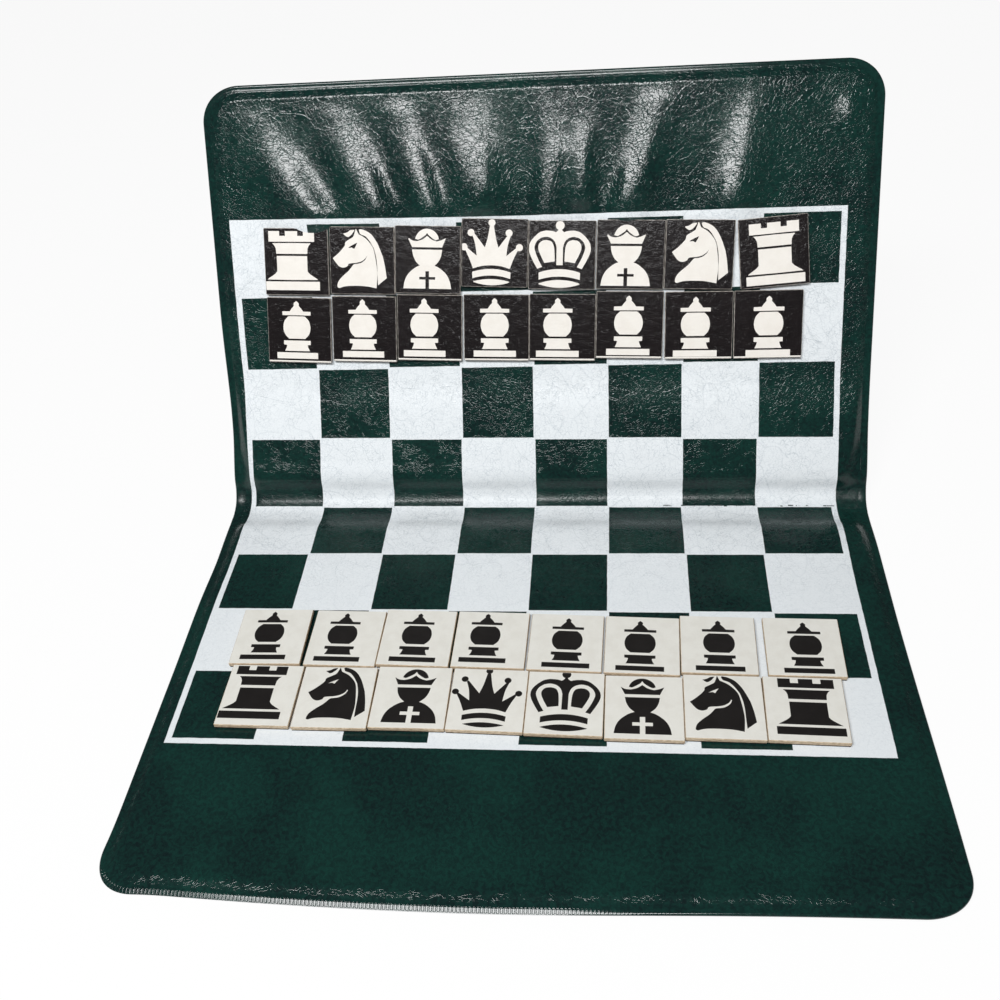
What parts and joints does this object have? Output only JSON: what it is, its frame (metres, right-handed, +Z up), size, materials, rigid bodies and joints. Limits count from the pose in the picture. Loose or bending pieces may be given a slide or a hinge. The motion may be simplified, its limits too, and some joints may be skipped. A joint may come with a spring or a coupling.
{
  "type": "magnetic travel chess set",
  "caption": "Folding vinyl wallet chess set standing open, with flat printed magnetic tiles for the pieces.",
  "frame": {"origin": "bottom centre of the whole set as it stands open, on the surface that it stands on", "axes": "+X along the folds, to the player's right; +Y away from the player, towards the far cover; +Z up"},
  "size_m": [0.193, 0.1918, 0.1101],
  "materials": {
    "vinyl": "dark green grained vinyl, white board print on the inside",
    "steel": "thin tin-plated sheet, hidden",
    "board": "grey stiffening board, hidden",
    "white_tile": "cream printed card on magnet sheet",
    "black_tile": "black printed card on magnet sheet"
  },
  "bodies": {
    "base": {"base_face_skin": "vinyl", "base_back_skin": "vinyl", "base_steel_sheet": "steel", "base_stiffener": "board"},
    "spine": {"spine_face_skin": "vinyl", "spine_back_skin": "vinyl"},
    "back": {"back_face_skin": "vinyl", "back_back_skin": "vinyl", "back_steel_sheet": "steel", "back_stiffener": "board"},
    "white_rook_a": {"white_rook_a": "white_tile"},
    "white_knight_b": {"white_knight_b": "white_tile"},
    "white_bishop_c": {"white_bishop_c": "white_tile"},
    "white_queen": {"white_queen": "white_tile"},
    "white_king": {"white_king": "white_tile"},
    "white_bishop_f": {"white_bishop_f": "white_tile"},
    "white_knight_g": {"white_knight_g": "white_tile"},
    "white_rook_h": {"white_rook_h": "white_tile"},
    "white_pawn_a": {"white_pawn_a": "white_tile"},
    "white_pawn_b": {"white_pawn_b": "white_tile"},
    "white_pawn_c": {"white_pawn_c": "white_tile"},
    "white_pawn_d": {"white_pawn_d": "white_tile"},
    "white_pawn_e": {"white_pawn_e": "white_tile"},
    "white_pawn_f": {"white_pawn_f": "white_tile"},
    "white_pawn_g": {"white_pawn_g": "white_tile"},
    "white_pawn_h": {"white_pawn_h": "white_tile"},
    "black_rook_a": {"black_rook_a": "black_tile"},
    "black_knight_b": {"black_knight_b": "black_tile"},
    "black_bishop_c": {"black_bishop_c": "black_tile"},
    "black_queen": {"black_queen": "black_tile"},
    "black_king": {"black_king": "black_tile"},
    "black_bishop_f": {"black_bishop_f": "black_tile"},
    "black_knight_g": {"black_knight_g": "black_tile"},
    "black_rook_h": {"black_rook_h": "black_tile"},
    "black_pawn_a": {"black_pawn_a": "black_tile"},
    "black_pawn_b": {"black_pawn_b": "black_tile"},
    "black_pawn_c": {"black_pawn_c": "black_tile"},
    "black_pawn_d": {"black_pawn_d": "black_tile"},
    "black_pawn_e": {"black_pawn_e": "black_tile"},
    "black_pawn_f": {"black_pawn_f": "black_tile"},
    "black_pawn_g": {"black_pawn_g": "black_tile"},
    "black_pawn_h": {"black_pawn_h": "black_tile"}
  },
  "joints": [
    {"name": "spine_fold", "type": "hinge", "parent": "base", "child": "spine", "pos_m": [0, 0.02556, 0.0015], "axis": [-1, 0, 0], "range_deg": [-86.5, 5]},
    {"name": "back_fold", "type": "hinge", "parent": "spine", "child": "back", "pos_m": [0, 0.03851, 0.00263], "axis": [-1, 0, 0], "range_deg": [-34.5, 57]},
    {"name": "white_rook_a_lift", "type": "slide", "parent": "base", "child": "white_rook_a", "axis": [0, 0, 1], "range_m": [0, 0.02]},
    {"name": "white_knight_b_lift", "type": "slide", "parent": "base", "child": "white_knight_b", "axis": [0, 0, 1], "range_m": [0, 0.02]},
    {"name": "white_bishop_c_lift", "type": "slide", "parent": "base", "child": "white_bishop_c", "axis": [0, 0, 1], "range_m": [0, 0.02]},
    {"name": "white_queen_lift", "type": "slide", "parent": "base", "child": "white_queen", "axis": [0, 0, 1], "range_m": [0, 0.02]},
    {"name": "white_king_lift", "type": "slide", "parent": "base", "child": "white_king", "axis": [0, 0, 1], "range_m": [0, 0.02]},
    {"name": "white_bishop_f_lift", "type": "slide", "parent": "base", "child": "white_bishop_f", "axis": [0, 0, 1], "range_m": [0, 0.02]},
    {"name": "white_knight_g_lift", "type": "slide", "parent": "base", "child": "white_knight_g", "axis": [0, 0, 1], "range_m": [0, 0.02]},
    {"name": "white_rook_h_lift", "type": "slide", "parent": "base", "child": "white_rook_h", "axis": [0, 0, 1], "range_m": [0, 0.02]},
    {"name": "white_pawn_a_lift", "type": "slide", "parent": "base", "child": "white_pawn_a", "axis": [0, 0, 1], "range_m": [0, 0.02]},
    {"name": "white_pawn_b_lift", "type": "slide", "parent": "base", "child": "white_pawn_b", "axis": [0, 0, 1], "range_m": [0, 0.02]},
    {"name": "white_pawn_c_lift", "type": "slide", "parent": "base", "child": "white_pawn_c", "axis": [0, 0, 1], "range_m": [0, 0.02]},
    {"name": "white_pawn_d_lift", "type": "slide", "parent": "base", "child": "white_pawn_d", "axis": [0, 0, 1], "range_m": [0, 0.02]},
    {"name": "white_pawn_e_lift", "type": "slide", "parent": "base", "child": "white_pawn_e", "axis": [0, 0, 1], "range_m": [0, 0.02]},
    {"name": "white_pawn_f_lift", "type": "slide", "parent": "base", "child": "white_pawn_f", "axis": [0, 0, 1], "range_m": [0, 0.02]},
    {"name": "white_pawn_g_lift", "type": "slide", "parent": "base", "child": "white_pawn_g", "axis": [0, 0, 1], "range_m": [0, 0.02]},
    {"name": "white_pawn_h_lift", "type": "slide", "parent": "base", "child": "white_pawn_h", "axis": [0, 0, 1], "range_m": [0, 0.02]},
    {"name": "black_rook_a_lift", "type": "slide", "parent": "back", "child": "black_rook_a", "axis": [0, -0.8829, 0.4695], "range_m": [0, 0.02]},
    {"name": "black_knight_b_lift", "type": "slide", "parent": "back", "child": "black_knight_b", "axis": [0, -0.8829, 0.4695], "range_m": [0, 0.02]},
    {"name": "black_bishop_c_lift", "type": "slide", "parent": "back", "child": "black_bishop_c", "axis": [0, -0.8829, 0.4695], "range_m": [0, 0.02]},
    {"name": "black_queen_lift", "type": "slide", "parent": "back", "child": "black_queen", "axis": [0, -0.8829, 0.4695], "range_m": [0, 0.02]},
    {"name": "black_king_lift", "type": "slide", "parent": "back", "child": "black_king", "axis": [0, -0.8829, 0.4695], "range_m": [0, 0.02]},
    {"name": "black_bishop_f_lift", "type": "slide", "parent": "back", "child": "black_bishop_f", "axis": [0, -0.8829, 0.4695], "range_m": [0, 0.02]},
    {"name": "black_knight_g_lift", "type": "slide", "parent": "back", "child": "black_knight_g", "axis": [0, -0.8829, 0.4695], "range_m": [0, 0.02]},
    {"name": "black_rook_h_lift", "type": "slide", "parent": "back", "child": "black_rook_h", "axis": [0, -0.8829, 0.4695], "range_m": [0, 0.02]},
    {"name": "black_pawn_a_lift", "type": "slide", "parent": "back", "child": "black_pawn_a", "axis": [0, -0.8829, 0.4695], "range_m": [0, 0.02]},
    {"name": "black_pawn_b_lift", "type": "slide", "parent": "back", "child": "black_pawn_b", "axis": [0, -0.8829, 0.4695], "range_m": [0, 0.02]},
    {"name": "black_pawn_c_lift", "type": "slide", "parent": "back", "child": "black_pawn_c", "axis": [0, -0.8829, 0.4695], "range_m": [0, 0.02]},
    {"name": "black_pawn_d_lift", "type": "slide", "parent": "back", "child": "black_pawn_d", "axis": [0, -0.8829, 0.4695], "range_m": [0, 0.02]},
    {"name": "black_pawn_e_lift", "type": "slide", "parent": "back", "child": "black_pawn_e", "axis": [0, -0.8829, 0.4695], "range_m": [0, 0.02]},
    {"name": "black_pawn_f_lift", "type": "slide", "parent": "back", "child": "black_pawn_f", "axis": [0, -0.8829, 0.4695], "range_m": [0, 0.02]},
    {"name": "black_pawn_g_lift", "type": "slide", "parent": "back", "child": "black_pawn_g", "axis": [0, -0.8829, 0.4695], "range_m": [0, 0.02]},
    {"name": "black_pawn_h_lift", "type": "slide", "parent": "back", "child": "black_pawn_h", "axis": [0, -0.8829, 0.4695], "range_m": [0, 0.02]}
  ]
}
